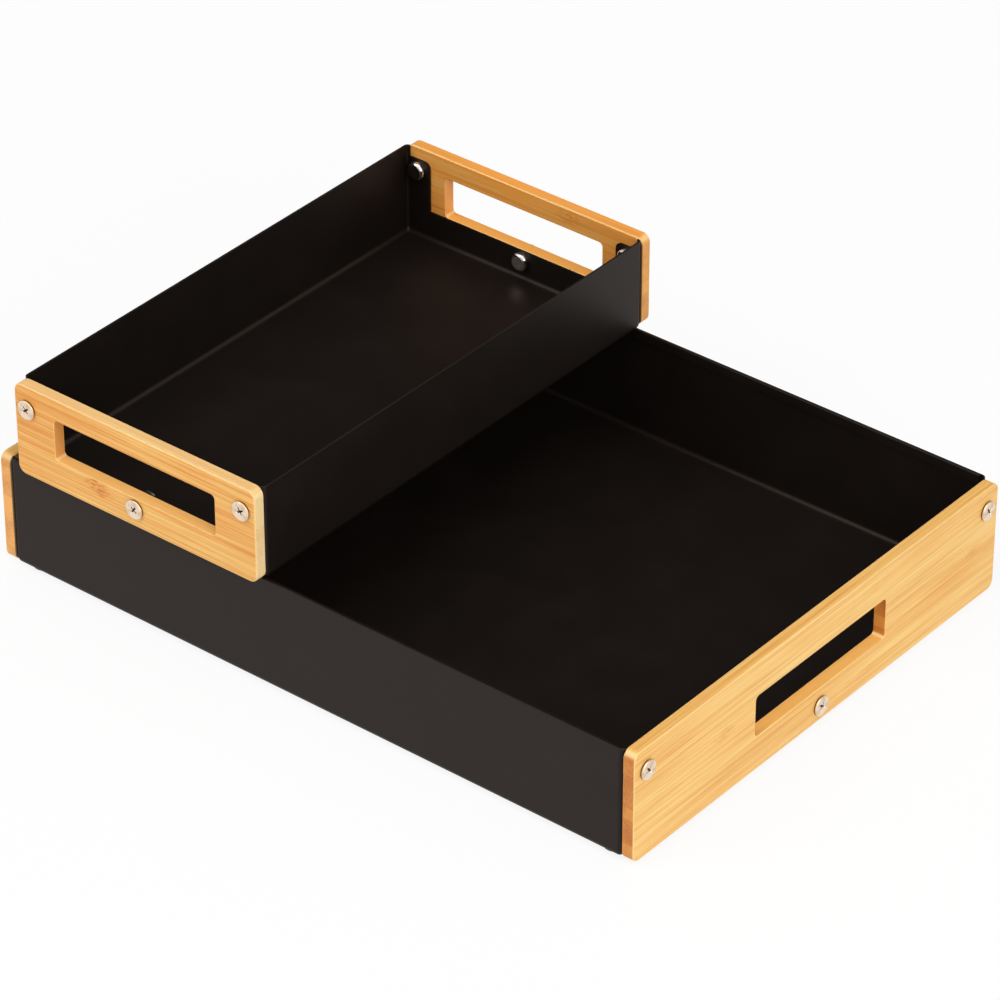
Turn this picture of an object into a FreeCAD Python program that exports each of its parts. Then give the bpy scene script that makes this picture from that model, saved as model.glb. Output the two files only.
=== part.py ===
import FreeCAD, Part
import Sketcher
import os

# Two stacked desk trays of folded black sheet steel with bamboo end panels.
# X runs along the lower tray, Y from its front wall to its back wall, Z up.
# The origin is on the desk, under the middle of the lower tray. All sizes are in millimetres.

doc = FreeCAD.newDocument("TieredDeskTray")

SIZES = {
    # both trays
    "sheetGauge": 0.9,            # thickness of the folded sheet
    "bendRadius": 3.0,            # outer radius of the bends between floor and walls
    "foldRadius": 2.1,            # outer radius of the upright folds between walls and tabs
    "tabWidth": 13.8,             # corner tab, from the outer face of the side wall
    "tabDrop": 5.5,               # top of a tab below the top of the walls
    "tabRadius": 3.0,             # rounded upper corner of a tab
    # lower tray
    "lowerLength": 328.0,         # shell, along X
    "lowerWidth": 248.0,          # shell, along Y
    "lowerHeight": 53.5,          # underside of the floor to the top of the walls
    "hemDepth": 4.5,              # edge of the long walls folded flat inwards
    "hemEase": 0.5,               # rounding on top of the folded edge
    "hemSetback": 2.0,            # the folded edge stops short of the end walls
    # upper tray, whose shell is as long along Y as the lower one is wide
    "upperWidth": 133.0,          # shell, along X
    "upperHeight": 45.0,
    "upperEase": 0.3,             # rounding on the plain top edge of its walls
    "upperSetback": 11.0,         # its left wall from the left end of the lower shell, at rest
    "seatGap": 0.3,               # running clearance where the upper tray rests on the lower walls
    # bamboo panels
    "panelThickness": 6.0,
    "panelCorner": 4.0,           # radius of the four corners
    "panelEase": 0.8,             # rounding of the outer edges
    "slotLength": 89.0,
    "slotHeight": 20.0,
    "slotCorner": 2.0,
    "slotEase": 0.4,
    "lowerSlotRise": 16.8,        # slot above the bottom of a lower panel
    "upperSlotRise": 14.3,        # slot above the bottom of an upper panel
    "lipDrop": 0.2,               # lip of the end wall below the slot
    "upperPanelLift": 0.6,        # bottom of an upper panel above the underside of its shell
    "upperPanelHeight": 44.7,
    # connector screws and cap nuts
    "screwHead": 9.1,
    "screwHeadHeight": 1.3,
    "screwHeadEase": 0.5,
    "screwShank": 3.9,
    "screwGrip": 1.9,             # shank inside the cap nut
    "recessReach": 4.0,           # cross recess, tip to tip
    "recessWidth": 0.7,
    "recessDepth": 1.4,
    "nutDiameter": 9.0,
    "nutHeight": 3.0,
    "nutDome": 1.6,               # rounding of the cap
    "nutBore": 4.0,
    "nutBoreDepth": 2.3,
    "holeDiameter": 4.4,          # clearance hole in bamboo and sheet
    "lowerScrewInset": 8.0,       # from the front or back end of a lower panel
    "lowerScrewDrop": 10.8,       # below the top of a lower panel
    "lowerMiddleRise": 7.7,       # middle screw above the bottom of a lower panel
    "upperScrewInset": 7.1,
    "upperScrewDrop": 11.1,
    "upperMiddleRise": 9.0,
    # rubber feet
    "footDiameter": 12.0,
    "footHeight": 2.0,
    "footEase": 0.7,
    "lowerFootInset": 9.0,        # centre from the ends and the long walls of the lower shell
    "upperFootInset": 11.5,       # centre from a side wall of the upper shell
    "guideGap": 0.5,              # upper foot beside the folded edge of the lower wall
}

sheet = doc.addObject("Spreadsheet::Sheet", "Sizes")
for row, (alias, value) in enumerate(SIZES.items(), start=1):
    sheet.set("A%d" % row, alias)
    sheet.set("B%d" % row, str(value))
    sheet.setAlias("B%d" % row, alias)
doc.recompute()

# Places that several pieces share, as expressions on the sheet.
lowerFloor = "Sizes.footHeight"
upperFloor = "(Sizes.footHeight + Sizes.lowerHeight + Sizes.seatGap)"
upperMiddle = "(Sizes.upperSetback + Sizes.upperWidth / 2 - Sizes.lowerLength / 2)"
shankLength = "(Sizes.panelThickness + Sizes.sheetGauge + Sizes.screwGrip)"

guess = 10.0                      # first value of a constraint, before its expression sets it
cutPast = 5.0                     # a cut runs this far past the material
crossTurns = (38.0, 52.0, 30.0)   # how the crosses of a panel's three screws happen to be turned


def newBody(name):
    body = doc.addObject("PartDesign::Body", name)
    body.Label = name
    return body


def originPlane(body, role):
    return [item for item in body.Origin.OriginFeatures if item.Role == role][0]


def newSketch(body, name, role, offset=None):
    """An empty sketch on one of the body's origin planes, moved along its normal by an expression."""
    sketch = body.newObject("Sketcher::SketchObject", name)
    sketch.AttachmentSupport = [(originPlane(body, role), "")]
    sketch.MapMode = "FlatFace"
    if offset is not None:
        sketch.setExpression("AttachmentOffset.Base.z", offset)
    return sketch


def bind(sketch, name, expression, *constraint):
    """A dimension whose value comes from the sheet."""
    index = sketch.addConstraint(Sketcher.Constraint(*constraint, guess))
    sketch.renameConstraint(index, name)
    sketch.setExpression("Constraints." + name, expression)


def addRectangle(sketch, name, width, height, rise=None, across=None):
    """A rectangle round the origin, or standing at rise and centred on the vertical axis or beside it."""
    first = sketch.GeometryCount
    left = guess if across is not None else -guess / 2
    low = guess if rise is not None else -guess / 2
    corners = [(left, low), (left + guess, low), (left + guess, low + guess), (left, low + guess)]
    points = [FreeCAD.Vector(x, y, 0) for x, y in corners]
    for number in range(4):
        sketch.addGeometry(Part.LineSegment(points[number], points[(number + 1) % 4]), False)
    bottom, right, top, side = range(first, first + 4)
    for line, following in ((bottom, right), (right, top), (top, side), (side, bottom)):
        sketch.addConstraint(Sketcher.Constraint("Coincident", line, 2, following, 1))
    for line, direction in ((top, "Horizontal"), (right, "Vertical"), (side, "Vertical")):
        sketch.addConstraint(Sketcher.Constraint(direction, line))
    bind(sketch, name + "Width", width, "DistanceX", bottom, 1, bottom, 2)
    bind(sketch, name + "Height", height, "DistanceY", right, 1, right, 2)
    if rise is not None:
        bind(sketch, name + "Rise", rise, "DistanceY", -1, 1, bottom, 1)
    if rise is not None and across is None:
        sketch.addConstraint(Sketcher.Constraint("Symmetric", bottom, 1, bottom, 2, -2))
        return
    sketch.addConstraint(Sketcher.Constraint("Horizontal", bottom))
    if across is not None:
        bind(sketch, name + "Across", across, "DistanceX", -1, 1, bottom, 1)
    else:
        sketch.addConstraint(Sketcher.Constraint("Symmetric", bottom, 1, right, 2, -1, 1))


def addCircle(sketch, name, diameter, rise=None, across=None, mirrored=False):
    """A circle at the origin, or at rise on the vertical axis or on one side of it."""
    side = -1 if mirrored else 1
    start = FreeCAD.Vector(side * guess if across is not None else 0, guess if rise is not None else 0, 0)
    circle = sketch.addGeometry(Part.Circle(start, FreeCAD.Vector(0, 0, 1), guess / 4), False)
    bind(sketch, name + "Diameter", diameter, "Diameter", circle)
    if rise is None:
        sketch.addConstraint(Sketcher.Constraint("Coincident", circle, 3, -1, 1))
        return
    bind(sketch, name + "Rise", rise, "DistanceY", -1, 1, circle, 3)
    if across is None:
        sketch.addConstraint(Sketcher.Constraint("PointOnObject", circle, 3, -2))
    elif mirrored:
        bind(sketch, name + "Across", across, "DistanceX", circle, 3, -1, 1)
    else:
        bind(sketch, name + "Across", across, "DistanceX", -1, 1, circle, 3)


def addFeature(body, kind, name, sketch, length, middle=False, reverse=False):
    feature = body.newObject("PartDesign::" + kind, name)
    feature.Profile = sketch
    feature.setExpression("Length", length)
    feature.Midplane = middle
    feature.Reversed = reverse
    doc.recompute()
    return feature


def pad(body, name, sketch, length, middle=False, reverse=False):
    return addFeature(body, "Pad", name, sketch, length, middle, reverse)


def pocket(body, name, sketch, length, middle=False, reverse=False):
    """A pocket, which has to take material away."""
    before = body.Shape.Volume
    feature = addFeature(body, "Pocket", name, sketch, length, middle, reverse)
    if not feature.Shape.Volume < before:
        raise RuntimeError("%s of %s cuts nothing" % (name, body.Label))
    return feature


def mirror(body, name, feature, role):
    mirrored = body.newObject("PartDesign::Mirrored", name)
    mirrored.Originals = [feature]
    mirrored.MirrorPlane = (originPlane(body, role), [""])
    body.Tip = mirrored
    doc.recompute()
    return mirrored


def fillet(body, name, feature, radius, test):
    """Rounds each edge of the feature whose points all pass the test."""
    edges = []
    for number, edge in enumerate(feature.Shape.Edges, start=1):
        if not edge.Degenerated and all(test(point) for point in edge.discretize(5)):
            edges.append("Edge%d" % number)
    if not edges:
        raise RuntimeError("%s of %s finds no edge" % (name, body.Label))
    rounding = body.newObject("PartDesign::Fillet", name)
    rounding.Base = (feature, edges)
    rounding.setExpression("Radius", radius)
    doc.recompute()
    return rounding


def near(value, target):
    return abs(value - target) < 1e-3


def place(body, x="0", y="0", z="0", turn=0.0, roll=0.0):
    """Puts a body at a place given by expressions, turned about Z after a roll about its own X."""
    upright = FreeCAD.Rotation(FreeCAD.Vector(0, 0, 1), turn)
    body.Placement.Rotation = upright * FreeCAD.Rotation(FreeCAD.Vector(1, 0, 0), roll)
    for axis, expression in (("x", x), ("y", y), ("z", z)):
        body.setExpression("Placement.Base." + axis, expression)


def trayShell(name, length, width, height, lipHeight):
    """A folded tray with its ends at plus and minus X, standing on the XY plane of its body.

    Each end has a low lip between two tabs folded in from the walls, which the bamboo panel is screwed to.
    """
    endX = sheet.get(length) / 2
    sideY = sheet.get(width) / 2
    top = sheet.get(height)
    gauge = sheet.get("sheetGauge")
    length, width, height = "Sizes." + length, "Sizes." + width, "Sizes." + height
    body = newBody(name)

    # a square tray, then both sides of its bends along the floor and of its upright folds
    sketch = newSketch(body, name + "_block_sketch", "XY_Plane")
    addRectangle(sketch, "block", length, width)
    pad(body, name + "_block", sketch, height)
    sketch = newSketch(body, name + "_hollow_sketch", "XY_Plane", "Sizes.sheetGauge")
    addRectangle(sketch, "hollow", length + " - 2 * Sizes.sheetGauge", width + " - 2 * Sizes.sheetGauge")
    tray = pocket(body, name + "_hollow", sketch, height, reverse=True)
    tray = fillet(body, name + "_inner_bends", tray, "Sizes.bendRadius - Sizes.sheetGauge",
                  lambda p: near(p.z, gauge))
    tray = fillet(body, name + "_inner_folds", tray, "Sizes.foldRadius - Sizes.sheetGauge",
                  lambda p: near(abs(p.x), endX - gauge) and near(abs(p.y), sideY - gauge))
    tray = fillet(body, name + "_outer_bends", tray, "Sizes.bendRadius", lambda p: near(p.z, 0))
    fillet(body, name + "_outer_folds", tray, "Sizes.foldRadius",
           lambda p: near(abs(p.x), endX) and near(abs(p.y), sideY))

    # end walls, cut down to a lip between two tabs
    sketch = newSketch(body, name + "_gap_sketch", "YZ_Plane")
    addRectangle(sketch, "gap", width + " - 2 * Sizes.tabWidth", height, rise=lipHeight)
    pocket(body, name + "_gap", sketch, "%s + %g" % (length, cutPast), middle=True)
    sketch = newSketch(body, name + "_tab_sketch", "YZ_Plane")
    addRectangle(sketch, "tab", width + " - 2 * Sizes.foldRadius", height, rise=height + " - Sizes.tabDrop")
    tabs = pocket(body, name + "_tab_tops", sketch, "%s + %g" % (length, cutPast), middle=True)
    tabY = sideY - sheet.get("tabWidth")
    tabTop = top - sheet.get("tabDrop")
    rounded = fillet(body, name + "_tab_corners", tabs, "Sizes.tabRadius",
                     lambda p: near(abs(p.y), tabY) and near(p.z, tabTop))
    return body, rounded, sideY, top


def hemmedEdges(body, name, length, height, width):
    """The long walls' upper edge, folded flat inwards, as a second layer of sheet."""
    sketch = newSketch(body, name + "_hem_sketch", "YZ_Plane")
    addRectangle(sketch, "hem", "Sizes.sheetGauge", "Sizes.hemDepth", rise=height + " - Sizes.hemDepth",
                 across=width + " / 2 - 2 * Sizes.sheetGauge")
    span = length + " - 2 * (Sizes.sheetGauge + Sizes.hemSetback)"
    strip = pad(body, name + "_hem", sketch, span, middle=True)
    return mirror(body, name + "_hems", strip, "XZ_Plane")


def screwHoles(body, name, length, width, screwRise, middleRise, inset):
    """Three clearance holes through each end, two in the tabs and one in the lip."""
    sketch = newSketch(body, name + "_hole_sketch", "YZ_Plane")
    across = "%s / 2 - %s" % (width, inset)
    addCircle(sketch, "middle", "Sizes.holeDiameter", rise=middleRise)
    addCircle(sketch, "back", "Sizes.holeDiameter", rise=screwRise, across=across)
    addCircle(sketch, "front", "Sizes.holeDiameter", rise=screwRise, across=across, mirrored=True)
    pocket(body, name + "_holes", sketch, length, middle=True)


# Heights of the screws above the underside of each shell.
lowerScrewRise = "Sizes.lowerHeight - Sizes.lowerScrewDrop"
lowerMiddleRise = "Sizes.lowerMiddleRise"
upperScrewRise = "Sizes.upperPanelLift + Sizes.upperPanelHeight - Sizes.upperScrewDrop"
upperMiddleRise = "Sizes.upperPanelLift + Sizes.upperMiddleRise"


def lowerShell():
    name = "lower_tray_shell"
    body, _, sideY, top = trayShell(
        name, "lowerLength", "lowerWidth", "lowerHeight", "Sizes.lowerSlotRise - Sizes.lipDrop")
    hems = hemmedEdges(body, name, "Sizes.lowerLength", "Sizes.lowerHeight", "Sizes.lowerWidth")
    hemY = sideY - 2 * sheet.get("sheetGauge")
    fillet(body, name + "_top_edges", hems, "Sizes.hemEase",
           lambda p: near(p.z, top) and (near(abs(p.y), sideY) or near(abs(p.y), hemY)))
    screwHoles(body, name, "Sizes.lowerLength + %g" % cutPast, "Sizes.lowerWidth",
               lowerScrewRise, lowerMiddleRise, "Sizes.lowerScrewInset")
    place(body, z=lowerFloor)
    return body


def upperShell():
    name = "upper_tray_shell"
    body, tabs, sideY, top = trayShell(
        name, "lowerWidth", "upperWidth", "upperHeight",
        "Sizes.upperPanelLift + Sizes.upperSlotRise - Sizes.lipDrop")
    innerY = sideY - sheet.get("sheetGauge")
    fillet(body, name + "_top_edges", tabs, "Sizes.upperEase",
           lambda p: near(p.z, top) and (near(abs(p.y), sideY) or near(abs(p.y), innerY)))
    screwHoles(body, name, "Sizes.lowerWidth + %g" % cutPast, "Sizes.upperWidth",
               upperScrewRise, upperMiddleRise, "Sizes.upperScrewInset")
    place(body, x=upperMiddle, z=upperFloor, turn=90)
    return body


def bambooPanel(name, width, height, slotRise, screwDrop, middleRise, inset):
    """A panel in the YZ plane of its body, inner face at X zero, outer face one thickness further."""
    thickness = sheet.get("panelThickness")
    halfWidth = sheet.get(width) / 2
    top = sheet.get(height)
    slotLow = sheet.get(slotRise)
    slotHigh = slotLow + sheet.get("slotHeight")
    slotEnd = sheet.get("slotLength") / 2
    width, height = "Sizes." + width, "Sizes." + height
    body = newBody(name)

    sketch = newSketch(body, name + "_board_sketch", "YZ_Plane")
    addRectangle(sketch, "board", width, height, rise="0 mm")
    board = pad(body, name + "_board", sketch, "Sizes.panelThickness")
    board = fillet(body, name + "_corners", board, "Sizes.panelCorner",
                   lambda p: near(abs(p.y), halfWidth) and (near(p.z, 0) or near(p.z, top)))
    board = fillet(body, name + "_eased_edges", board, "Sizes.panelEase",
                   lambda p: near(p.x, 0) or near(p.x, thickness))

    sketch = newSketch(body, name + "_slot_sketch", "YZ_Plane")
    addRectangle(sketch, "slot", "Sizes.slotLength", "Sizes.slotHeight", rise="Sizes." + slotRise)
    slot = pocket(body, name + "_slot", sketch, "Sizes.panelThickness", reverse=True)
    slot = fillet(body, name + "_slot_corners", slot, "Sizes.slotCorner",
                  lambda p: near(abs(p.y), slotEnd) and (near(p.z, slotLow) or near(p.z, slotHigh)))
    fillet(body, name + "_slot_edges", slot, "Sizes.slotEase",
           lambda p: (near(p.x, 0) or near(p.x, thickness)) and abs(p.y) < slotEnd + 1e-3
           and slotLow - 1e-3 < p.z < slotHigh + 1e-3)

    sketch = newSketch(body, name + "_hole_sketch", "YZ_Plane")
    across = "%s / 2 - Sizes.%s" % (width, inset)
    rise = "%s - Sizes.%s" % (height, screwDrop)
    addCircle(sketch, "middle", "Sizes.holeDiameter", rise="Sizes." + middleRise)
    addCircle(sketch, "back", "Sizes.holeDiameter", rise=rise, across=across)
    addCircle(sketch, "front", "Sizes.holeDiameter", rise=rise, across=across, mirrored=True)
    pocket(body, name + "_holes", sketch, "Sizes.panelThickness", reverse=True)
    return body


def connectorScrew(name):
    """A flat-headed screw along X, its head seated at X zero and its shank towards minus X."""
    headRim = sheet.get("screwHeadHeight")
    reach = sheet.get("screwHead") / 2
    body = newBody(name)
    sketch = newSketch(body, name + "_head_sketch", "YZ_Plane")
    addCircle(sketch, "head", "Sizes.screwHead")
    head = pad(body, name + "_head", sketch, "Sizes.screwHeadHeight")
    fillet(body, name + "_head_edge", head, "Sizes.screwHeadEase",
           lambda p: near(p.x, headRim) and near((p.y ** 2 + p.z ** 2) ** 0.5, reach))
    sketch = newSketch(body, name + "_shank_sketch", "YZ_Plane")
    addCircle(sketch, "shank", "Sizes.screwShank")
    pad(body, name + "_shank", sketch, shankLength, reverse=True)
    bars = (("recessReach", "recessWidth"), ("recessWidth", "recessReach"))
    for number, (width, height) in enumerate(bars):
        sketch = newSketch(body, "%s_recess_sketch_%d" % (name, number), "YZ_Plane",
                           "Sizes.screwHeadHeight - Sizes.recessDepth")
        addRectangle(sketch, "recess", "Sizes." + width, "Sizes." + height)
        pocket(body, "%s_recess_%d" % (name, number), sketch, "Sizes.recessDepth", reverse=True)
    return body


def capNut(name):
    """A closed round nut along X, seated at X zero, its cap towards minus X."""
    capX = -sheet.get("nutHeight")
    body = newBody(name)
    sketch = newSketch(body, name + "_cap_sketch", "YZ_Plane")
    addCircle(sketch, "cap", "Sizes.nutDiameter")
    cap = pad(body, name + "_cap", sketch, "Sizes.nutHeight", reverse=True)
    fillet(body, name + "_dome", cap, "Sizes.nutDome", lambda p: near(p.x, capX))
    sketch = newSketch(body, name + "_bore_sketch", "YZ_Plane")
    addCircle(sketch, "bore", "Sizes.nutBore")
    pocket(body, name + "_bore", sketch, "Sizes.nutBoreDepth")
    return body


def rubberFoot(name):
    """A flat round foot that stands on the XY plane of its body."""
    body = newBody(name)
    sketch = newSketch(body, name + "_sketch", "XY_Plane")
    addCircle(sketch, "foot", "Sizes.footDiameter")
    disc = pad(body, name + "_disc", sketch, "Sizes.footHeight")
    fillet(body, name + "_edge", disc, "Sizes.footEase", lambda p: near(p.z, 0))
    return body


def lowerPanels():
    bodies = []
    for side, sign, turn in (("right", "", 0), ("left", "-", 180)):
        body = bambooPanel("lower_%s_panel" % side, "lowerWidth", "lowerHeight", "lowerSlotRise",
                           "lowerScrewDrop", "lowerMiddleRise", "lowerScrewInset")
        place(body, x=sign + "Sizes.lowerLength / 2", z=lowerFloor, turn=turn)
        bodies.append(body)
    return bodies


def upperPanels():
    bodies = []
    for side, sign, turn in (("front", "-", -90), ("back", "", 90)):
        body = bambooPanel("upper_%s_panel" % side, "upperWidth", "upperPanelHeight", "upperSlotRise",
                           "upperScrewDrop", "upperMiddleRise", "upperScrewInset")
        place(body, x=upperMiddle, y=sign + "Sizes.lowerWidth / 2",
              z=upperFloor + " + Sizes.upperPanelLift", turn=turn)
        bodies.append(body)
    return bodies


def lowerFasteners():
    """A screw and its nut at two upper corners and the lower middle of each lower panel."""
    bodies = []
    across = "(Sizes.lowerWidth / 2 - Sizes.lowerScrewInset)"
    spots = (("front", "-" + across, lowerScrewRise),
             ("middle", "0", lowerMiddleRise),
             ("back", across, lowerScrewRise))
    for side, sign, turn in (("right", "", 0), ("left", "-", 180)):
        for (spot, y, rise), roll in zip(spots, crossTurns):
            z = "%s + %s" % (lowerFloor, rise)
            screw = connectorScrew("lower_screw_%s_%s" % (side, spot))
            place(screw, sign + "(Sizes.lowerLength / 2 + Sizes.panelThickness)", y, z, turn, roll)
            nut = capNut("lower_nut_%s_%s" % (side, spot))
            place(nut, sign + "(Sizes.lowerLength / 2 - Sizes.sheetGauge)", y, z, turn)
            bodies += [screw, nut]
    return bodies


def upperFasteners():
    """A screw and its nut at two upper corners and the lower middle of each upper panel."""
    bodies = []
    across = "(Sizes.upperWidth / 2 - Sizes.upperScrewInset)"
    spots = (("left", "%s - %s" % (upperMiddle, across), upperScrewRise),
             ("middle", upperMiddle, upperMiddleRise),
             ("right", "%s + %s" % (upperMiddle, across), upperScrewRise))
    for side, sign, turn in (("front", "-", -90), ("back", "", 90)):
        for (spot, x, rise), roll in zip(spots, crossTurns):
            z = "%s + %s" % (upperFloor, rise)
            screw = connectorScrew("upper_screw_%s_%s" % (side, spot))
            place(screw, x, sign + "(Sizes.lowerWidth / 2 + Sizes.panelThickness)", z, turn, roll)
            nut = capNut("upper_nut_%s_%s" % (side, spot))
            place(nut, x, sign + "(Sizes.lowerWidth / 2 - Sizes.sheetGauge)", z, turn)
            bodies += [screw, nut]
    return bodies


def feet():
    """Four feet under each shell. Those of the upper tray run just inside the lower walls."""
    bodies = []
    lowerX = "(Sizes.lowerLength / 2 - Sizes.lowerFootInset)"
    lowerY = "(Sizes.lowerWidth / 2 - Sizes.lowerFootInset)"
    upperX = "(Sizes.upperWidth / 2 - Sizes.upperFootInset)"
    upperY = "(Sizes.lowerWidth / 2 - 2 * Sizes.sheetGauge - Sizes.guideGap - Sizes.footDiameter / 2)"
    for depth, signY in (("front", "-"), ("back", "")):
        for side, signX in (("left", "-"), ("right", "+")):
            foot = rubberFoot("lower_foot_%s_%s" % (depth, side))
            place(foot, "0 %s %s" % (signX, lowerX), signY + lowerY, "0")
            bodies.append(foot)
            foot = rubberFoot("upper_foot_%s_%s" % (depth, side))
            place(foot, "%s %s %s" % (upperMiddle, signX, upperX), signY + upperY,
                  upperFloor + " - Sizes.footHeight")
            bodies.append(foot)
    return bodies


pieces = [lowerShell(), upperShell()]
pieces += lowerPanels() + upperPanels()
pieces += lowerFasteners() + upperFasteners()
pieces += feet()
doc.recompute()

for item in doc.Objects:
    if "Invalid" in item.State or "Error" in item.State:
        raise RuntimeError("%s failed: %s" % (item.Name, item.State))
for body in pieces:
    if body.Shape.isNull() or not body.Shape.isValid() or len(body.Shape.Solids) != 1:
        raise RuntimeError("%s has no single valid solid" % body.Label)

os.makedirs("parts", exist_ok=True)
for body in pieces:
    body.Shape.exportStep(os.path.join("parts", body.Label + ".step"))
    print("%-26s %10.1f mm3" % (body.Label, body.Shape.Volume))
print("%d pieces" % len(pieces))
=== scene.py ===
import math

import bmesh
import bpy
from mathutils import Matrix, Vector


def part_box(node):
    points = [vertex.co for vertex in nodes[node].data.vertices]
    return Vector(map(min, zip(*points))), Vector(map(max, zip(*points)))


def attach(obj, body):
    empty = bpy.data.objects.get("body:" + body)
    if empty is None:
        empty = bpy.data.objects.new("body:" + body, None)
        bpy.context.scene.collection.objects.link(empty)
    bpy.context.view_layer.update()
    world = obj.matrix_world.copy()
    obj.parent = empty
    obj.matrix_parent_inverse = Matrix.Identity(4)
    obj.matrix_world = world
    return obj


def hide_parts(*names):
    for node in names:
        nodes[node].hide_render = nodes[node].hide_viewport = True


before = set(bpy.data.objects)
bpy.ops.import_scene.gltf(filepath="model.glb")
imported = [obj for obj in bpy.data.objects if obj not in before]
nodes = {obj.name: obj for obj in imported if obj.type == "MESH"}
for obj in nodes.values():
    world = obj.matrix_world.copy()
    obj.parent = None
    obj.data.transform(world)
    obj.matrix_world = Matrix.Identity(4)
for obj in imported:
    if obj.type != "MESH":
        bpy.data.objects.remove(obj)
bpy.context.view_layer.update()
mm = 0.001
print("frame loaded,", len(nodes), "nodes")


# colours are written as they look on screen and turned into light values here
def shade(red, green, blue):
    linear = []
    for level in (red / 255, green / 255, blue / 255):
        linear.append(level / 12.92 if level <= 0.04045 else ((level + 0.055) / 1.055) ** 2.4)
    return (*linear, 1.0)


# small helpers for building node trees
def addNode(tree, kind, inputs=None, **settings):
    made = tree.nodes.new(kind)
    for name, value in settings.items():
        setattr(made, name, value)
    for name, value in (inputs or {}).items():
        if isinstance(value, bpy.types.NodeSocket):
            tree.links.new(value, made.inputs[name])
        else:
            made.inputs[name].default_value = value
    return made


def calc(tree, operation, *values, clamp=False):
    made = addNode(tree, "ShaderNodeMath", dict(enumerate(values)), operation=operation)
    made.use_clamp = clamp
    return made.outputs[0]


def times(tree, first, second):
    return calc(tree, "MULTIPLY", first, second)


def largestOf(tree, first, second, third):
    return calc(tree, "MAXIMUM", calc(tree, "MAXIMUM", first, second), third)


def splitUp(tree, vector):
    return addNode(tree, "ShaderNodeSeparateXYZ", {0: vector}).outputs


def joinUp(tree, x, y, z):
    return addNode(tree, "ShaderNodeCombineXYZ", {0: x, 1: y, 2: z}).outputs[0]


def shifted(tree, vector, shift):
    return addNode(tree, "ShaderNodeVectorMath", {0: vector, 1: shift}, operation="ADD").outputs[0]


def blendColor(tree, amount, first, second):
    return addNode(tree, "ShaderNodeMix", {0: amount, 6: first, 7: second}, data_type="RGBA").outputs[2]


# 0 at low, 1 at high, smooth between; low may be the larger of the two
def rampUp(tree, value, low, high):
    made = addNode(tree, "ShaderNodeMapRange", {"Value": value, "From Min": low, "From Max": high},
                   interpolation_type="SMOOTHSTEP")
    return made.outputs[0]


# noise over a point in millimetres, stretched by the size of its grain along each axis
def grainNoise(tree, point, size, detail=2.0, roughness=0.5):
    scaled = addNode(tree, "ShaderNodeVectorMath", {0: point, 1: size}, operation="DIVIDE")
    made = addNode(tree, "ShaderNodeTexNoise",
                   {"Vector": scaled.outputs[0], "Scale": 1.0, "Detail": detail, "Roughness": roughness})
    return made.outputs[0]


def newFinish(name):
    material = bpy.data.materials.new(name)
    material.use_nodes = True
    tree = material.node_tree
    tree.nodes.clear()
    shader = addNode(tree, "ShaderNodeBsdfPrincipled")
    output = addNode(tree, "ShaderNodeOutputMaterial")
    tree.links.new(shader.outputs[0], output.inputs[0])
    return material, tree, shader


# object coordinates in millimetres, and the direction a face looks in
def localPoint(tree):
    place = addNode(tree, "ShaderNodeTexCoord")
    scaled = addNode(tree, "ShaderNodeVectorMath", {0: place.outputs["Object"], "Scale": 1 / mm},
                     operation="SCALE")
    return scaled.outputs[0], place.outputs["Normal"]


def varyRoughness(tree, shader, noise, low, high):
    tree.links.new(calc(tree, "MULTIPLY_ADD", noise, high - low, low), shader.inputs["Roughness"])


def addBump(tree, shader, height, depth, strength):
    bump = addNode(tree, "ShaderNodeBump", {"Height": height, "Distance": depth, "Strength": strength})
    tree.links.new(bump.outputs[0], shader.inputs["Normal"])


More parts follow.
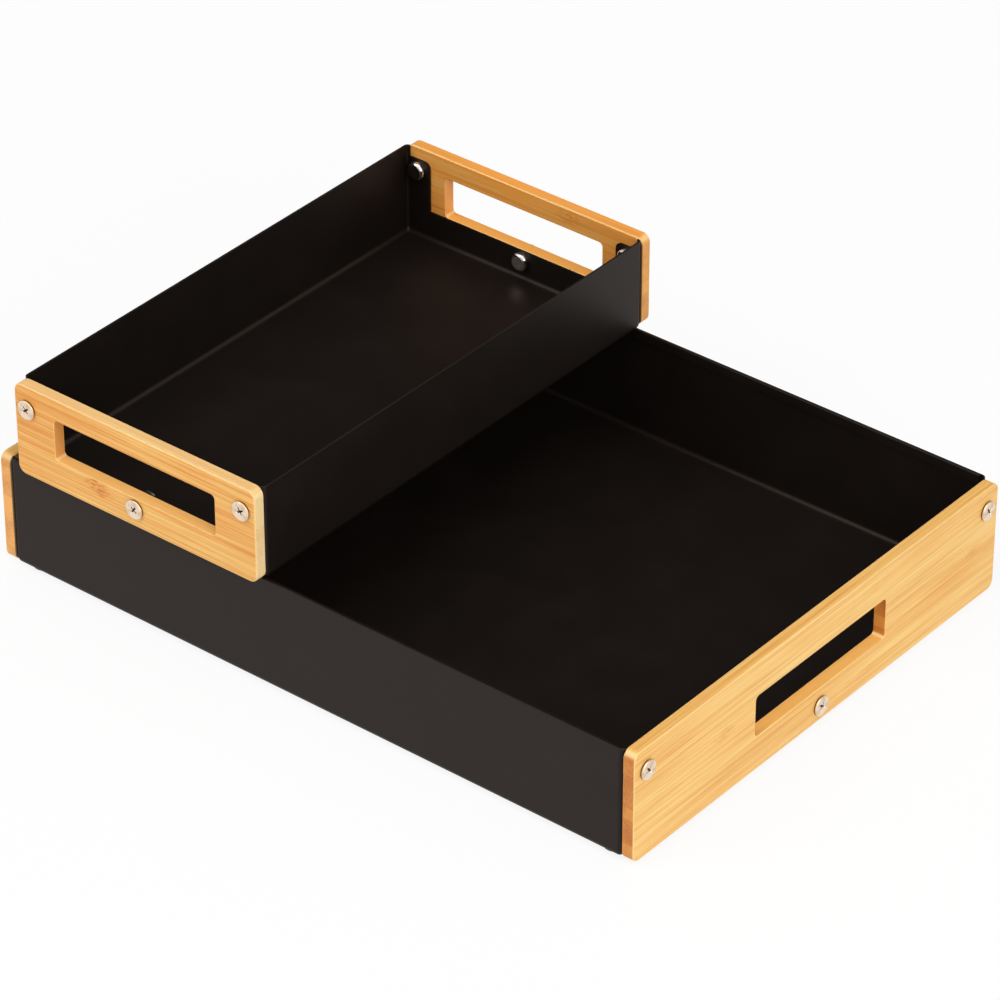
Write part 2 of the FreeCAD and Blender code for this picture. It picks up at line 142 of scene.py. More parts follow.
# bamboo: strips pressed side by side, with fibres along the board, growth marks and a satin lacquer.
# Sizes are in mm along, up and through the board. A ramp says where on a noise, or on how far a face
# looks one way, its effect starts and is full. A share says how much of the effect there is
bamboo = {
    "pale": shade(249, 209, 129),
    "gold": shade(243, 189, 104),
    "fibre": shade(200, 122, 46),
    "figure": shade(214, 132, 50),
    "mark": shade(204, 114, 36),
    # painted highlight colour for the eased edges
    "edge": shade(253, 220, 156),
    "slotFloor": shade(255, 184, 86),
    "paintedJointShade": shade(60, 36, 22),              # painted shade: a dark line where a board meets the folds of the sheet, standing in for the shadow in that groove
    "wanderSize": (120.0, 30.0, 30.0),
    "wanderRise": 1.8,
    "streaks": {                             # size, roughness and share in the tone
        "broad": ((170.0, 6.5, 6.5), 0.55, 0.75),
        "narrow": ((90.0, 1.25, 1.25), 0.6, 1.0),
        "fine": ((40.0, 0.45, 0.45), 0.6, 1.05),
    },
    "cloudSize": (70.0, 24.0, 12.0),
    "cloudShare": 0.45,
    "stripHeight": 11.5,
    "stripDepth": 3.0,
    "stripShare": 0.08,
    "goldRamp": (0.08, 0.5),
    "paleRamp": (0.42, 0.86),
    "figureSize": (95.0, 2.4, 2.4),
    "figureRamp": (0.50, 0.64),
    "lineSize": (120.0, 0.62, 0.62),
    "lineRamp": (0.60, 0.70),
    "lineShare": 0.30,
    "dashSize": (8.0, 0.34, 0.34),
    "dashRamp": (0.60, 0.74),
    "dashPlace": (0.58, 0.42),               # dashes keep to the darker of the narrow streaks
    "dashShare": 0.26,
    "markGrain": (3.6, 0.85, 0.85),
    "markGrainRamp": (0.46, 0.54),
    "markPatch": (7.0, 2.6, 2.6),
    "markRagged": 1.6,
    "markRamp": (1.75, 0.65),
    "markHalo": 0.5,
    "narrowRamp": (0.6, 0.95),
    "slotFloorDrop": (4.0, 8.0),             # below the top edge
    "slotFloorShare": 0.6,
    "endBand": 6.5,
    "bandShare": 0.42,
    "dotSize": (0.55, 0.55, 0.55),
    "dotRamp": (0.52, 0.66),
    "dotShare": 0.45,
    "hazeSize": (3.0, 3.0, 5.0),
    "hazeShare": 0.7,
    "endRamp": (0.15, 1.05),
    "endContrast": 0.7,
    "endFacing": (0.6, 0.92),
    "slotEnd": (4.0, 10.0),                  # in from the end of the shell
    "easedRamp": (0.985, 0.80),
    "easedHighlightShare": 0.6,
    "jointShadeEnd": (2.4, 1.4),                  # in from the end of the shell
    "jointShadeFacing": (0.25, 0.65),
    "jointShadeShare": 0.9,
    "roughness": (0.40, 0.56),
    "gloss": 0.34,
    "lacquer": 0.08,
    "lacquerRoughness": 0.30,
    "broadFacing": (0.5, 0.9),
    "cutRelief": -0.6,
    "grooveDepth": 0.00006,                  # m
    "grooveStrength": 0.6,
}


def leanTone(tree, tone, noise, share):
    return calc(tree, "MULTIPLY_ADD", calc(tree, "SUBTRACT", noise, 0.5), share, tone)


def bambooFinish(name, board):
    material, tree, shader = newFinish(name)
    point, normal = localPoint(tree)
    parts, faces = splitUp(tree, point), splitUp(tree, normal)
    alongAxis = "XY".index(board["length"])
    throughAxis = 1 - alongAxis
    along, through, up = parts[alongAxis], parts[throughAxis], parts[2]
    endFacing, sideFacing, topFacing = (
        calc(tree, "ABSOLUTE", faces[axis]) for axis in (alongAxis, throughAxis, 2))
    shift = board["grain"]

    # a slow wander keeps the strips and fibres from running dead straight
    flow = shifted(tree, joinUp(tree, along, up, through), shift)
    wander = grainNoise(tree, flow, bamboo["wanderSize"], detail=1.0)
    bentUp = calc(tree, "MULTIPLY_ADD", wander, bamboo["wanderRise"], up)
    fibres = shifted(tree, joinUp(tree, along, bentUp, through), shift)

    # tone from dark to pale: streaks from broad to fine, slow clouds, then the strips by height and depth
    tone = 0.5 - board["warmth"]
    streaks = {}
    for kind, (size, roughness, share) in bamboo["streaks"].items():
        streaks[kind] = grainNoise(tree, fibres, size, roughness=roughness)
        tone = leanTone(tree, tone, streaks[kind], share)
    cloud = grainNoise(tree, flow, bamboo["cloudSize"], detail=1.0)
    tone = leanTone(tree, tone, cloud, bamboo["cloudShare"])
    stripPlace = calc(tree, "DIVIDE", bentUp, bamboo["stripHeight"])
    row = calc(tree, "FLOOR", calc(tree, "ADD", stripPlace, shift[1]))
    layer = calc(tree, "FLOOR", calc(tree, "DIVIDE", through, bamboo["stripDepth"]))
    strip = addNode(tree, "ShaderNodeTexWhiteNoise", {"Vector": joinUp(tree, row, layer, shift[2])},
                    noise_dimensions="3D")
    tone = leanTone(tree, tone, strip.outputs[0], bamboo["stripShare"])
    color = blendColor(tree, rampUp(tree, tone, *bamboo["goldRamp"]), board["amber"], bamboo["gold"])
    color = blendColor(tree, rampUp(tree, tone, *bamboo["paleRamp"]), color, bamboo["pale"])

    # darker figure, long fine lines and short dashes of fibre
    figure = grainNoise(tree, fibres, bamboo["figureSize"], detail=3.0, roughness=0.6)
    figured = times(tree, rampUp(tree, figure, *bamboo["figureRamp"]), board["figure"])
    color = blendColor(tree, figured, color, bamboo["figure"])
    lines = rampUp(tree, grainNoise(tree, fibres, bamboo["lineSize"], detail=1.0), *bamboo["lineRamp"])
    color = blendColor(tree, times(tree, lines, bamboo["lineShare"]), color, bamboo["fibre"])
    dash = grainNoise(tree, fibres, bamboo["dashSize"], detail=1.0)
    dashes = times(tree, rampUp(tree, dash, *bamboo["dashRamp"]),
                   rampUp(tree, streaks["narrow"], *bamboo["dashPlace"]))
    color = blendColor(tree, times(tree, dashes, bamboo["dashShare"]), color, bamboo["fibre"])

    # growth marks: soft darker patches with short fibre ends where the cane had its joints
    markGrain = grainNoise(tree, fibres, bamboo["markGrain"], roughness=0.6)
    markPatch = grainNoise(tree, fibres, bamboo["markPatch"], detail=1.0)
    markDepth = board["markDepth"]
    for markAlong, markUp, reach, rise in board["marks"]:
        aside = calc(tree, "DIVIDE", calc(tree, "SUBTRACT", along, markAlong), reach)
        above = calc(tree, "DIVIDE", calc(tree, "SUBTRACT", up, markUp), rise)
        distance = calc(tree, "ADD", times(tree, aside, aside), times(tree, above, above))
        ragged = calc(tree, "MULTIPLY_ADD", markPatch, bamboo["markRagged"], distance)
        inside = rampUp(tree, ragged, *bamboo["markRamp"])
        color = blendColor(tree, times(tree, inside, markDepth * bamboo["markHalo"]), color, board["amber"])
        ends = times(tree, inside, rampUp(tree, markGrain, *bamboo["markGrainRamp"]))
        color = blendColor(tree, times(tree, ends, markDepth), color, bamboo["mark"])

    # narrow faces show the edges of the strips in a tone of their own; on the upper front board that tone is
    # pale, a painted highlight on its top edge
    narrow = rampUp(tree, topFacing, *bamboo["narrowRamp"])
    color = blendColor(tree, times(tree, narrow, board["edgeShare"]), color, board["edgeTone"])

    # the lower face of the slot is more golden than the top edge
    below = rampUp(tree, up, *(board["top"] - drop for drop in bamboo["slotFloorDrop"]))
    slotFloor = times(tree, times(tree, narrow, below), bamboo["slotFloorShare"])
    color = blendColor(tree, slotFloor, color, bamboo["slotFloor"])

    # end grain: bands of uneven height across the board, with fine dots of cut fibre in the dark ones
    dots = grainNoise(tree, point, bamboo["dotSize"], detail=1.0)
    haze = grainNoise(tree, point, bamboo["hazeSize"])
    bandPlace = calc(tree, "ADD", calc(tree, "DIVIDE", up, bamboo["endBand"]), shift[1])
    band = addNode(tree, "ShaderNodeTexVoronoi", {"W": bandPlace, "Scale": 1.0}, voronoi_dimensions="1D")
    bandTone = splitUp(tree, band.outputs["Color"])[0]
    hazed = times(tree, haze, bamboo["hazeShare"])
    endTone = calc(tree, "MULTIPLY_ADD", bandTone, bamboo["bandShare"], hazed)
    dotted = times(tree, rampUp(tree, dots, *bamboo["dotRamp"]), times(tree, bandTone, bamboo["dotShare"]))
    endTone = rampUp(tree, calc(tree, "ADD", endTone, dotted), *bamboo["endRamp"])
    contrast = bamboo["endContrast"]
    endTone = calc(tree, "MULTIPLY_ADD", endTone, contrast, board["endShade"] - contrast / 2, clamp=True)
    endColor = blendColor(tree, endTone, *board["endTones"])

    # painted shade: the ends of the handle slot lean deeper towards the amber than the ends of the board,
    # standing in for the shade inside the slot
    beyond = calc(tree, "ABSOLUTE", calc(tree, "SUBTRACT", along, board["middle"]))
    inSlot = rampUp(tree, beyond, *(board["reach"] - short for short in bamboo["slotEnd"]))
    endColor = blendColor(tree, times(tree, inSlot, board["slotShadeShare"]), endColor, board["amber"])
    color = blendColor(tree, rampUp(tree, endFacing, *bamboo["endFacing"]), color, endColor)

    # painted highlight: the eased edges are painted a little paler, standing in for the light caught on
    # their rounding
    easedHighlight = rampUp(tree, largestOf(tree, endFacing, sideFacing, topFacing), *bamboo["easedRamp"])
    color = blendColor(tree, times(tree, easedHighlight, bamboo["easedHighlightShare"]), color, bamboo["edge"])

    # painted shade: a dark line on the inner face, beyond the flat of the sheet that the board is screwed
    # to, standing in for the shadow in the groove by the fold
    inward = times(tree, faces[throughAxis], board["inward"])
    paintedJointShade = times(tree, rampUp(tree, beyond, *(board["reach"] - short for short in bamboo["jointShadeEnd"])),
                  rampUp(tree, inward, *bamboo["jointShadeFacing"]))
    color = blendColor(tree, times(tree, paintedJointShade, bamboo["jointShadeShare"]), color, bamboo["paintedJointShade"])
    tree.links.new(color, shader.inputs["Base Color"])

    varyRoughness(tree, shader, streaks["fine"], *bamboo["roughness"])
    shader.inputs["Specular IOR Level"].default_value = bamboo["gloss"]
    shader.inputs["Coat Weight"].default_value = bamboo["lacquer"]
    shader.inputs["Coat Roughness"].default_value = bamboo["lacquerRoughness"]
    grooves = times(tree, streaks["fine"], rampUp(tree, sideFacing, *bamboo["broadFacing"]))
    cuts = calc(tree, "MAXIMUM", dashes, lines)
    relief = calc(tree, "MULTIPLY_ADD", cuts, bamboo["cutRelief"], grooves)
    addBump(tree, shader, relief, bamboo["grooveDepth"], bamboo["grooveStrength"])
    return material


# powder coat: satin black with a fine orange peel, a shade lighter in faint clouds, and painted lighter
# along the folds as a highlight
coat = {
    "black": shade(17, 13, 11),
    "wornAndFoldHighlight": shade(24, 19, 16),
    "sheenTint": (1.0, 0.76, 0.66, 1.0),
    "gloss": 0.25,
    "roughness": (0.46, 0.52),
    "cloudSize": (26.0, 26.0, 26.0),         # mm
    "cloudRamp": (0.30, 1.0),
    "speckSize": (0.22, 0.22, 0.22),
    "speckRamp": (0.62, 0.75),
    "speckShare": 0.5,
    "foldHighlightRamp": (0.97, 0.8),
    "foldHighlightShare": 0.6,
    "peelSize": (0.75, 0.75, 0.75),
    "peelDepth": 0.000035,                   # m
    "peelStrength": 0.5,
    "speckRelief": 0.25,
}


def coatFinish(name):
    material, tree, shader = newFinish(name)
    point, normal = localPoint(tree)
    peel = grainNoise(tree, point, coat["peelSize"])
    speck = grainNoise(tree, point, coat["speckSize"], detail=1.0)
    cloud = grainNoise(tree, point, coat["cloudSize"], detail=3.0)
    color = blendColor(tree, rampUp(tree, cloud, *coat["cloudRamp"]), coat["black"], coat["wornAndFoldHighlight"])
    specks = times(tree, rampUp(tree, speck, *coat["speckRamp"]), coat["speckShare"])
    color = blendColor(tree, specks, color, coat["wornAndFoldHighlight"])
    flatness = largestOf(tree, *(calc(tree, "ABSOLUTE", facing) for facing in splitUp(tree, normal)))
    # painted highlight: the bends of the sheet are lighter, standing in for the light they catch
    foldHighlight = times(tree, rampUp(tree, flatness, *coat["foldHighlightRamp"]), coat["foldHighlightShare"])
    tree.links.new(blendColor(tree, foldHighlight, color, coat["wornAndFoldHighlight"]), shader.inputs["Base Color"])
    varyRoughness(tree, shader, cloud, *coat["roughness"])
    shader.inputs["Specular IOR Level"].default_value = coat["gloss"]
    shader.inputs["Specular Tint"].default_value = coat["sheenTint"]
    relief = calc(tree, "MULTIPLY_ADD", speck, coat["speckRelief"], peel)
    addBump(tree, shader, relief, coat["peelDepth"], coat["peelStrength"])
    return material


# connector screws: turned head with a soft rim and a tapered cross recess, sizes in mm
screw = {
    "headRadius": 4.5,
    "headHeight": 1.3,
    "rimRound": 0.42,
    "rimSteps": 6,
    "undercut": 0.25,                        # the rim draws in towards the wood
    "faceDish": 0.04,                        # the face is a touch hollow
    "dishRing": (0.5, 0.6),                  # shares of the radius and of the dish at a ring on the face
    "shankRadius": 1.95,
    "shankChamfer": 0.3,
    "sides": 64,
    "recessReach": 2.05,                     # cross, centre to tip
    "recessWidth": 0.85,
    "recessCore": 0.68,                      # where the inner corners of the cross meet
    "recessShoulder": 0.97,                  # the tips of the cross are a little rounded
    "recessDepth": 1.15,
    "recessTaper": 0.70,                     # size of the recess at its bottom
    "recessOvershoot": 0.3,                  # how far the cutter stands out of the head
    "edgeRound": 0.06,
    "edgeAngle": 40.0,                       # degrees, sharper edges are rounded
    "smoothAngle": 35.0,
    "crossTurns": (38.0, 52.0, 30.0),
}


# nickel plate on the screws: satin, with painted shade in the recess, and painted shade and reflection of
# the wood where the head meets the wood, sizes in mm
nickel = {
    "light": shade(238, 218, 196),
    "dull": shade(216, 194, 168),
    "shadow": shade(84, 64, 46),
    "blotchSize": (2.6, 2.6, 2.6),
    "blotchRamp": (0.40, 0.68),
    "turnSize": (0.25, 1.0, 1.0),
    "recessRadius": (2.7, 2.3),
    "recessDrop": (0.15, 0.5),               # below the face
    "seatRadius": (3.2, 3.6),
    "seatRise": (0.75, 0.35),                # above the wood
    "roughness": (0.30, 0.44),
    "turnDepth": 0.00001,                    # m
    "turnStrength": 0.5,
}


def nickelFinish(name):
    material, tree, shader = newFinish(name)
    point, _ = localPoint(tree)
    out, across, rise = splitUp(tree, point)
    radius = addNode(tree, "ShaderNodeVectorMath", {0: joinUp(tree, 0.0, across, rise)},
                     operation="LENGTH").outputs["Value"]
    blotch = grainNoise(tree, point, nickel["blotchSize"])
    turned = grainNoise(tree, joinUp(tree, radius, 0.0, 0.0), nickel["turnSize"], detail=1.0)
    color = blendColor(tree, rampUp(tree, blotch, *nickel["blotchRamp"]), nickel["light"], nickel["dull"])
    sunk = times(tree, rampUp(tree, radius, *nickel["recessRadius"]),
                 rampUp(tree, out, *(screw["headHeight"] - drop for drop in nickel["recessDrop"])))
    seat = times(tree, rampUp(tree, radius, *nickel["seatRadius"]), rampUp(tree, out, *nickel["seatRise"]))
    shaded = calc(tree, "MAXIMUM", sunk, seat)
    tree.links.new(blendColor(tree, shaded, color, nickel["shadow"]), shader.inputs["Base Color"])
    varyRoughness(tree, shader, blotch, *nickel["roughness"])
    shader.inputs["Metallic"].default_value = 1.0
    addBump(tree, shader, calc(tree, "ADD", blotch, turned), nickel["turnDepth"], nickel["turnStrength"])
    return material


# bright plating on the cap nuts
chrome = {
    "light": shade(214, 210, 206),
    "dull": shade(150, 146, 143),
    "hazeSize": (1.4, 1.4, 1.4),             # mm
    "hazeRamp": (0.45, 0.8),
    "roughness": (0.08, 0.22),
    "hazeDepth": 0.00001,                    # m
    "hazeStrength": 0.4,
}


def chromeFinish(name):
    material, tree, shader = newFinish(name)
    point, _ = localPoint(tree)
    haze = grainNoise(tree, point, chrome["hazeSize"], detail=3.0)
    color = blendColor(tree, rampUp(tree, haze, *chrome["hazeRamp"]), chrome["light"], chrome["dull"])
    tree.links.new(color, shader.inputs["Base Color"])
    varyRoughness(tree, shader, haze, *chrome["roughness"])
    shader.inputs["Metallic"].default_value = 1.0
    addBump(tree, shader, haze, chrome["hazeDepth"], chrome["hazeStrength"])
    return material


# rubber of the feet: matt, with dust in patches
rubber = {
    "black": shade(30, 29, 28),
    "dusty": shade(62, 59, 56),
    "dustSize": (4.0, 4.0, 2.0),             # mm
    "dustRamp": (0.48, 0.78),
    "grainSize": (0.35, 0.35, 0.35),
    "roughness": (0.62, 0.86),
    "grainDepth": 0.00004,                   # m
    "grainStrength": 0.6,
}


def rubberFinish(name):
    material, tree, shader = newFinish(name)
    point, _ = localPoint(tree)
    grain = grainNoise(tree, point, rubber["grainSize"])
    dust = grainNoise(tree, point, rubber["dustSize"], detail=4.0)
    color = blendColor(tree, rampUp(tree, dust, *rubber["dustRamp"]), rubber["black"], rubber["dusty"])
    tree.links.new(color, shader.inputs["Base Color"])
    varyRoughness(tree, shader, grain, *rubber["roughness"])
    addBump(tree, shader, grain, rubber["grainDepth"], rubber["grainStrength"])
    return material


def dress(nodeName, material):
    mesh = nodes[nodeName].data
    mesh.materials.clear()
    mesh.materials.append(material)


# each board: its length, its own stretch of the grain in mm, how far its tone leans to its amber, how much
# figure it has, tones of its narrow edges and of its end grain (pale, dark), and growth marks, each with
# its place along the board, height, reach and rise in mm
boards = {
    "lower_right_panel": {
        "length": "Y", "grain": (0.0, 0.35, 0.0), "warmth": -0.05, "amber": shade(228, 156, 70),
        "figure": 0.12, "edgeTone": shade(228, 156, 70), "edgeShare": 0.24,
        "endTones": (shade(238, 164, 76), shade(190, 110, 38)), "endShade": 0.72, "slotShadeShare": 0.0,
        "markDepth": 0.3, "marks": [(-66.0, 32.0, 8.0, 4.0), (107.0, 28.0, 8.0, 4.0)]},
    "lower_left_panel": {
        "length": "Y", "grain": (410.0, 7.6, 31.0), "warmth": -0.04, "amber": shade(228, 154, 68),
        "figure": 0.15, "edgeTone": shade(228, 154, 68), "edgeShare": 0.24,
        "endTones": (shade(246, 178, 98), shade(184, 106, 40)), "endShade": 0.15, "slotShadeShare": 0.0,
        "markDepth": 0.4, "marks": [(50.0, 45.0, 9.0, 5.0), (-70.0, 14.0, 8.0, 4.5), (5.0, 10.0, 8.0, 4.0)]},
    # upper front board: its pale edge tone is a painted highlight on its top edge, and its pale end grain is
    # painted light on its end faces
    "upper_front_panel": {
        "length": "X", "grain": (905.0, 13.2, 64.0), "warmth": 0.21, "amber": shade(232, 152, 64),
        "figure": 0.24, "edgeTone": shade(250, 214, 150), "edgeShare": 0.6,
        "endTones": (shade(255, 222, 162), shade(226, 158, 90)), "endShade": 0.05, "slotShadeShare": 0.85,
        "markDepth": 0.95, "marks": [(-107.0, 67.5, 9.5, 5.0)]},
    # upper back board: its amber is brighter than the other boards', painted light standing in for light
    # bounced onto its inner face
    "upper_back_panel": {
        "length": "X", "grain": (1310.0, 21.7, 97.0), "warmth": 0.40, "amber": shade(255, 169, 74),
        "figure": 0.40, "edgeTone": shade(248, 164, 72), "edgeShare": 0.34,
        "endTones": (shade(255, 184, 90), shade(204, 116, 44)), "endShade": 0.32, "slotShadeShare": 0.7,
        "markDepth": 0.5, "marks": [(-60.0, 96.0, 8.0, 4.5), (-120.0, 63.0, 8.0, 4.5)]},
}
for nodeName, board in boards.items():
    axis = "XY".index(board["length"])
    low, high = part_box(nodeName.split("_")[0] + "_tray_shell")
    shellMiddle, shellSize = (low + high) / 2 / mm, (high - low) / mm
    low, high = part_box(nodeName)
    board["inward"] = -1.0 if ((low + high) / 2 / mm - shellMiddle)[1 - axis] > 0 else 1.0
    board["middle"] = shellMiddle[axis]
    board["reach"] = shellSize[axis] / 2
    board["top"] = high.z / mm
    dress(nodeName, bambooFinish("bamboo_" + nodeName, board))

blackCoat = coatFinish("black_powder_coat")
dress("lower_tray_shell", blackCoat)
dress("upper_tray_shell", blackCoat)
capChrome = chromeFinish("cap_nut_chrome")
footRubber = rubberFinish("foot_rubber")
for nodeName in nodes:
    if "_nut_" in nodeName:
        dress(nodeName, capChrome)
    if "_foot_" in nodeName:
        dress(nodeName, footRubber)
print("finishes made")


# turns a profile of (x, radius) points about the X axis
def lathe(name, profile, sides):
    mesh = bmesh.new()
    rings = []
    for x, radius in profile:
        if radius == 0:
            rings.append([mesh.verts.new((x * mm, 0, 0))])
            continue
        ring = []
        for number in range(sides):
            angle = 2 * math.pi * number / sides
            across, rise = radius * math.cos(angle), radius * math.sin(angle)
            ring.append(mesh.verts.new((x * mm, across * mm, rise * mm)))
        rings.append(ring)
    for first, second in zip(rings, rings[1:]):
        for number in range(sides):
            following = (number + 1) % sides
            if len(first) == 1:
                mesh.faces.new((first[0], second[number], second[following]))
            elif len(second) == 1:
                mesh.faces.new((first[number], second[0], first[following]))
            else:
                mesh.faces.new((first[number], second[number], second[following], first[following]))
    return closedMesh(name, mesh)


def closedMesh(name, mesh):
    bmesh.ops.recalc_face_normals(mesh, faces=mesh.faces)
    data = bpy.data.meshes.new(name)
    mesh.to_mesh(data)
    mesh.free()
    return data


def crossOutline(scale):
    reach, half = screw["recessReach"] * scale, screw["recessWidth"] * scale / 2
    core, shoulder = screw["recessCore"] * scale, reach * screw["recessShoulder"]
    points = []
    for quarter in range(4):
        turn = quarter * math.pi / 2
        for across, out in ((-half, shoulder), (0, reach), (half, shoulder)):
            points.append((out * math.cos(turn) - across * math.sin(turn),
                           out * math.sin(turn) + across * math.cos(turn)))
        corner = turn + math.pi / 4
        points.append((core * math.cos(corner), core * math.sin(corner)))
    return points


def recessCutter():
    mesh = bmesh.new()
    overshoot, depth, taper = screw["recessOvershoot"], screw["recessDepth"], screw["recessTaper"]
    top, bottom = screw["headHeight"] + overshoot, screw["headHeight"] - depth
    growth = 1 + (1 - taper) * overshoot / depth
    rings = []
    for x, scale in ((top, growth), (bottom, taper)):
        rings.append([mesh.verts.new((x * mm, y * mm, z * mm)) for y, z in crossOutline(scale)])
    count = len(rings[0])
    for number in range(count):
        following = (number + 1) % count
        mesh.faces.new((rings[0][number], rings[0][following], rings[1][following], rings[1][number]))
    mesh.faces.new(rings[0])
    mesh.faces.new(rings[1])
    return closedMesh("recess_cutter", mesh)


def screwMesh(shankEnd):
    height, radius, soft = screw["headHeight"], screw["headRadius"], screw["rimRound"]
    ringRadius, ringDish = screw["dishRing"]
    profile = [(height - screw["faceDish"], 0), (height - screw["faceDish"] * ringDish, radius * ringRadius)]
    for step in range(screw["rimSteps"] + 1):
        angle = math.pi / 2 * step / screw["rimSteps"]
        profile.append((height - soft + soft * math.cos(angle), radius - soft + soft * math.sin(angle)))
    shank, chamfer = screw["shankRadius"], screw["shankChamfer"]
    profile += [(0, radius - screw["undercut"]), (0, shank), (shankEnd + chamfer, shank),
                (shankEnd, shank - chamfer), (shankEnd, 0)]
    body = bpy.data.objects.new("screw_blank", lathe("screw_blank", profile, screw["sides"]))
    cutter = bpy.data.objects.new("recess_cutter", recessCutter())
    for item in (body, cutter):
        bpy.context.scene.collection.objects.link(item)
    cut = body.modifiers.new("recess", "BOOLEAN")
    cut.object = cutter
    cut.solver = "EXACT"
    soften = body.modifiers.new("soften", "BEVEL")
    soften.width = screw["edgeRound"] * mm
    soften.segments = 2
    soften.limit_method = "ANGLE"
    soften.angle_limit = math.radians(screw["edgeAngle"])
    bpy.context.view_layer.update()
    evaluated = body.evaluated_get(bpy.context.evaluated_depsgraph_get())
    data = bpy.data.meshes.new_from_object(evaluated)
    data.name = "connector_screw"
    for item in (body, cutter):
        bpy.data.objects.remove(item)
    data.polygons.foreach_set("use_smooth", [True] * len(data.polygons))
    data.set_sharp_from_angle(angle=math.radians(screw["smoothAngle"]))
    return data


# each screw stands where its CAD node does, head outwards
def placeScrews(material):
    low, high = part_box("lower_screw_right_front")
    shankEnd = screw["headHeight"] - (high.x - low.x) / mm
    data = screwMesh(shankEnd)
    data.materials.append(material)
    sides = {"right": 0.0, "left": 180.0, "front": -90.0, "back": 90.0}
    spots = {"lower": ("front", "middle", "back"), "upper": ("left", "middle", "right")}
    ends = {"lower": ("right", "left"), "upper": ("front", "back")}
    for tray in ("lower", "upper"):
        for end in ends[tray]:
            for spot, crossTurn in zip(spots[tray], screw["crossTurns"]):
                nodeName = "%s_screw_%s_%s" % (tray, end, spot)
                low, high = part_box(nodeName)
                facing = Matrix.Rotation(math.radians(sides[end]), 4, "Z")
                spin = Matrix.Rotation(math.radians(crossTurn), 4, "X")
                outward = facing @ Vector((1, 0, 0))
                halfLength = (high - low).dot(Vector(map(abs, outward))) / 2
                seat = (low + high) / 2 + outward * (halfLength - screw["headHeight"] * mm)
                piece = bpy.data.objects.new("%s_connector_%s_%s" % (tray, end, spot), data)
                bpy.context.scene.collection.objects.link(piece)
                piece.matrix_world = Matrix.Translation(seat) @ facing @ spin
                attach(piece, tray + "_tray")
                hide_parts(nodeName)


placeScrews(nickelFinish("screw_nickel"))
print("screws made")


# floor and light: a white sweep that keeps a soft shadow
studio = {
    "floorSize": 14.0,            # m
    "floorColor": shade(250, 250, 250),
    "floorRoughness": 0.9,
    "ownGlow": 0.88,              # share of the floor's white that no shadow touches
    "worldLight": 0.42,
    "flagFacing": (-0.52, 0.64, 0.56),    # a dark card behind the tray, that only gloss shows
    "flagReach": (58.0, 24.0),    # degrees from its middle, where it starts and where it is full
    "flagLevel": 0.06,
    "keyPlace": (-1.5, -2.3, 2.6), "keySize": 1.9, "keyPower": 39.5,
    "fillPlace": (2.6, -1.0, 1.7), "fillSize": 1.9, "fillPower": 41.0,
    "topPlace": (0.5, -0.7, 3.1), "topSize": 2.0, "topPower": 23.5,
    "lampAim": (0.0, 0.0, 0.05),
}


def makeFloor():
    mesh = bmesh.new()
    bmesh.ops.create_grid(mesh, x_segments=8, y_segments=8, size=studio["floorSize"] / 2)
    data = bpy.data.meshes.new("studio_floor")
    mesh.to_mesh(data)
    mesh.free()
    floor = bpy.data.objects.new("studio_floor", data)
    bpy.context.scene.collection.objects.link(floor)
    material, tree, shader = newFinish("floor_white")
    output = [item for item in tree.nodes if item.type == "OUTPUT_MATERIAL"][0]
    shader.inputs["Base Color"].default_value = studio["floorColor"]
    shader.inputs["Roughness"].default_value = studio["floorRoughness"]
    shader.inputs["Specular IOR Level"].default_value = 0.0
    glow = addNode(tree, "ShaderNodeEmission", {"Color": (1, 1, 1, 1), "Strength": 1.0})
    path = addNode(tree, "ShaderNodeLightPath")
    seen = calc(tree, "MAXIMUM", path.outputs["Is Camera Ray"], path.outputs["Is Glossy Ray"])
    amount = calc(tree, "MULTIPLY", seen, studio["ownGlow"])
    mixed = addNode(tree, "ShaderNodeMixShader", {0: amount, 1: shader.outputs[0], 2: glow.outputs[0]})
    clear = addNode(tree, "ShaderNodeBsdfTransparent")    # from below the floor is out of the way
    under = addNode(tree, "ShaderNodeNewGeometry").outputs["Backfacing"]
    twoSided = addNode(tree, "ShaderNodeMixShader", {0: under, 1: mixed.outputs[0], 2: clear.outputs[0]})
    tree.links.new(twoSided.outputs[0], output.inputs[0])
    data.materials.append(material)


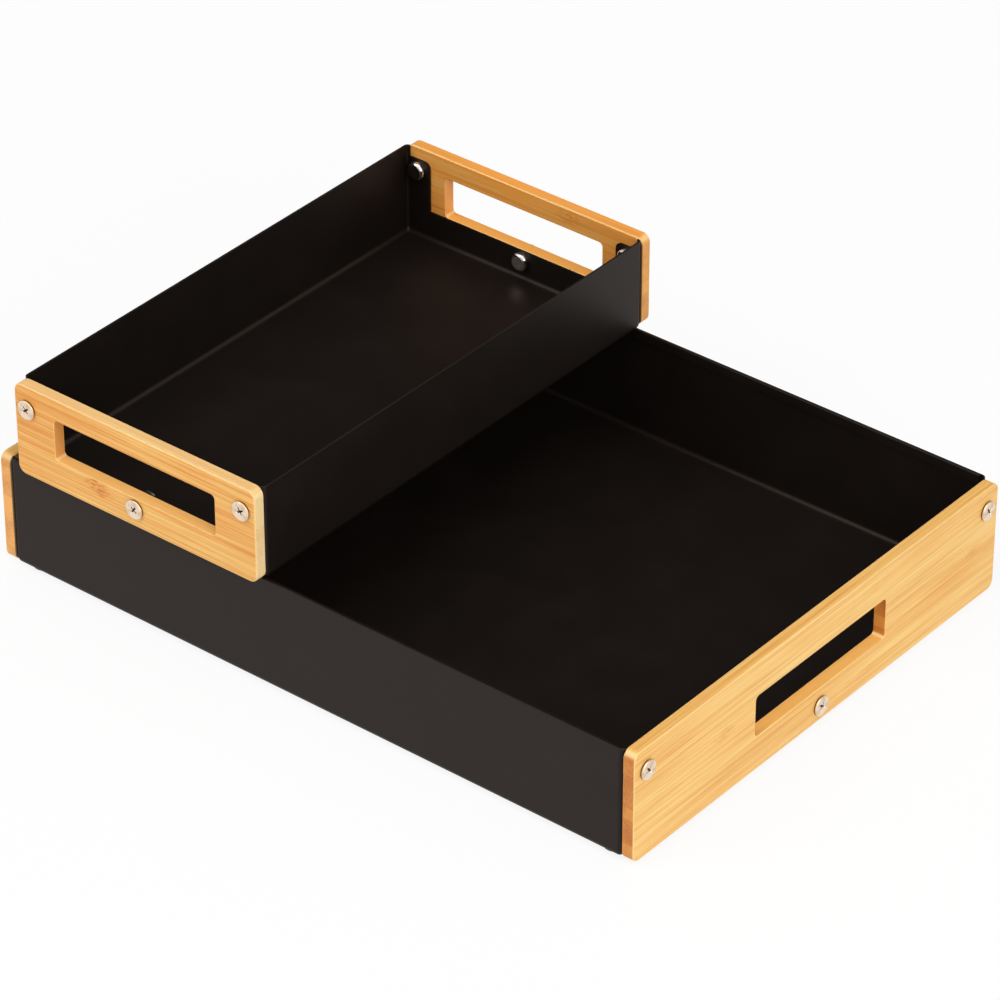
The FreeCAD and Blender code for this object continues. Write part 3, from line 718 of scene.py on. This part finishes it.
def makeWorld():
    world = bpy.data.worlds.new("studio_world")
    bpy.context.scene.world = world
    world.use_nodes = True
    tree = world.node_tree
    tree.nodes.clear()
    path = addNode(tree, "ShaderNodeLightPath")
    seen = calc(tree, "MAXIMUM", path.outputs["Is Camera Ray"], path.outputs["Is Glossy Ray"])
    level = calc(tree, "MULTIPLY_ADD", seen, 1 - studio["worldLight"], studio["worldLight"])
    direction = addNode(tree, "ShaderNodeTexCoord").outputs["Generated"]
    facing = Vector(studio["flagFacing"]).normalized()
    towards = addNode(tree, "ShaderNodeVectorMath", {0: direction, 1: facing},
                      operation="DOT_PRODUCT").outputs["Value"]
    outer, inner = (math.cos(math.radians(angle)) for angle in studio["flagReach"])
    flag = calc(tree, "MULTIPLY", rampUp(tree, towards, outer, inner), path.outputs["Is Glossy Ray"])
    level = calc(tree, "MULTIPLY", level, calc(tree, "MULTIPLY_ADD", flag, studio["flagLevel"] - 1, 1.0))
    background = addNode(tree, "ShaderNodeBackground", {"Color": (1, 1, 1, 1), "Strength": level})
    output = addNode(tree, "ShaderNodeOutputWorld")
    tree.links.new(background.outputs[0], output.inputs[0])


def softbox(name, place, size, power):
    light = bpy.data.lights.new(name, "AREA")
    light.shape = "SQUARE"
    light.size = size
    light.energy = power
    item = bpy.data.objects.new(name, light)
    bpy.context.scene.collection.objects.link(item)
    away = Vector(place) - Vector(studio["lampAim"])
    item.matrix_world = Matrix.Translation(place) @ away.to_track_quat("Z", "Y").to_matrix().to_4x4()


makeFloor()
makeWorld()
for part in ("key", "fill", "top"):
    softbox(part + "_softbox", studio[part + "Place"], studio[part + "Size"], studio[part + "Power"])
print("studio made")


# the photograph's view: a long lens, turned to the right of the front and looking down
view = {
    "place": (1.16606, -1.42741, 1.27961),    # m
    "azimuth": 39.2098,                       # degrees
    "elevation": 33.9531,
    "roll": -0.0838,
    "lens": 189.427,                          # mm
    "sensor": 36.0,                           # mm
    "farthest": 50.0,                         # m, where the camera's sight ends
}


def makeCamera():
    azimuth, elevation, roll = (math.radians(view[name]) for name in ("azimuth", "elevation", "roll"))
    back = Vector((math.sin(azimuth) * math.cos(elevation), -math.cos(azimuth) * math.cos(elevation),
                   math.sin(elevation)))
    right = (-back).cross(Vector((0, 0, 1))).normalized()
    above = right.cross(-back)
    rightRolled = right * math.cos(roll) + above * math.sin(roll)
    aboveRolled = above * math.cos(roll) - right * math.sin(roll)
    data = bpy.data.cameras.new("product_camera")
    data.lens = view["lens"]
    data.sensor_width = view["sensor"]
    data.clip_end = view["farthest"]
    camera = bpy.data.objects.new("product_camera", data)
    bpy.context.scene.collection.objects.link(camera)
    turn = Matrix((rightRolled, aboveRolled, back)).transposed().to_4x4()
    camera.matrix_world = Matrix.Translation(view["place"]) @ turn
    bpy.context.scene.camera = camera


makeCamera()
bpy.context.scene.view_settings.view_transform = "Standard"
print("camera set")
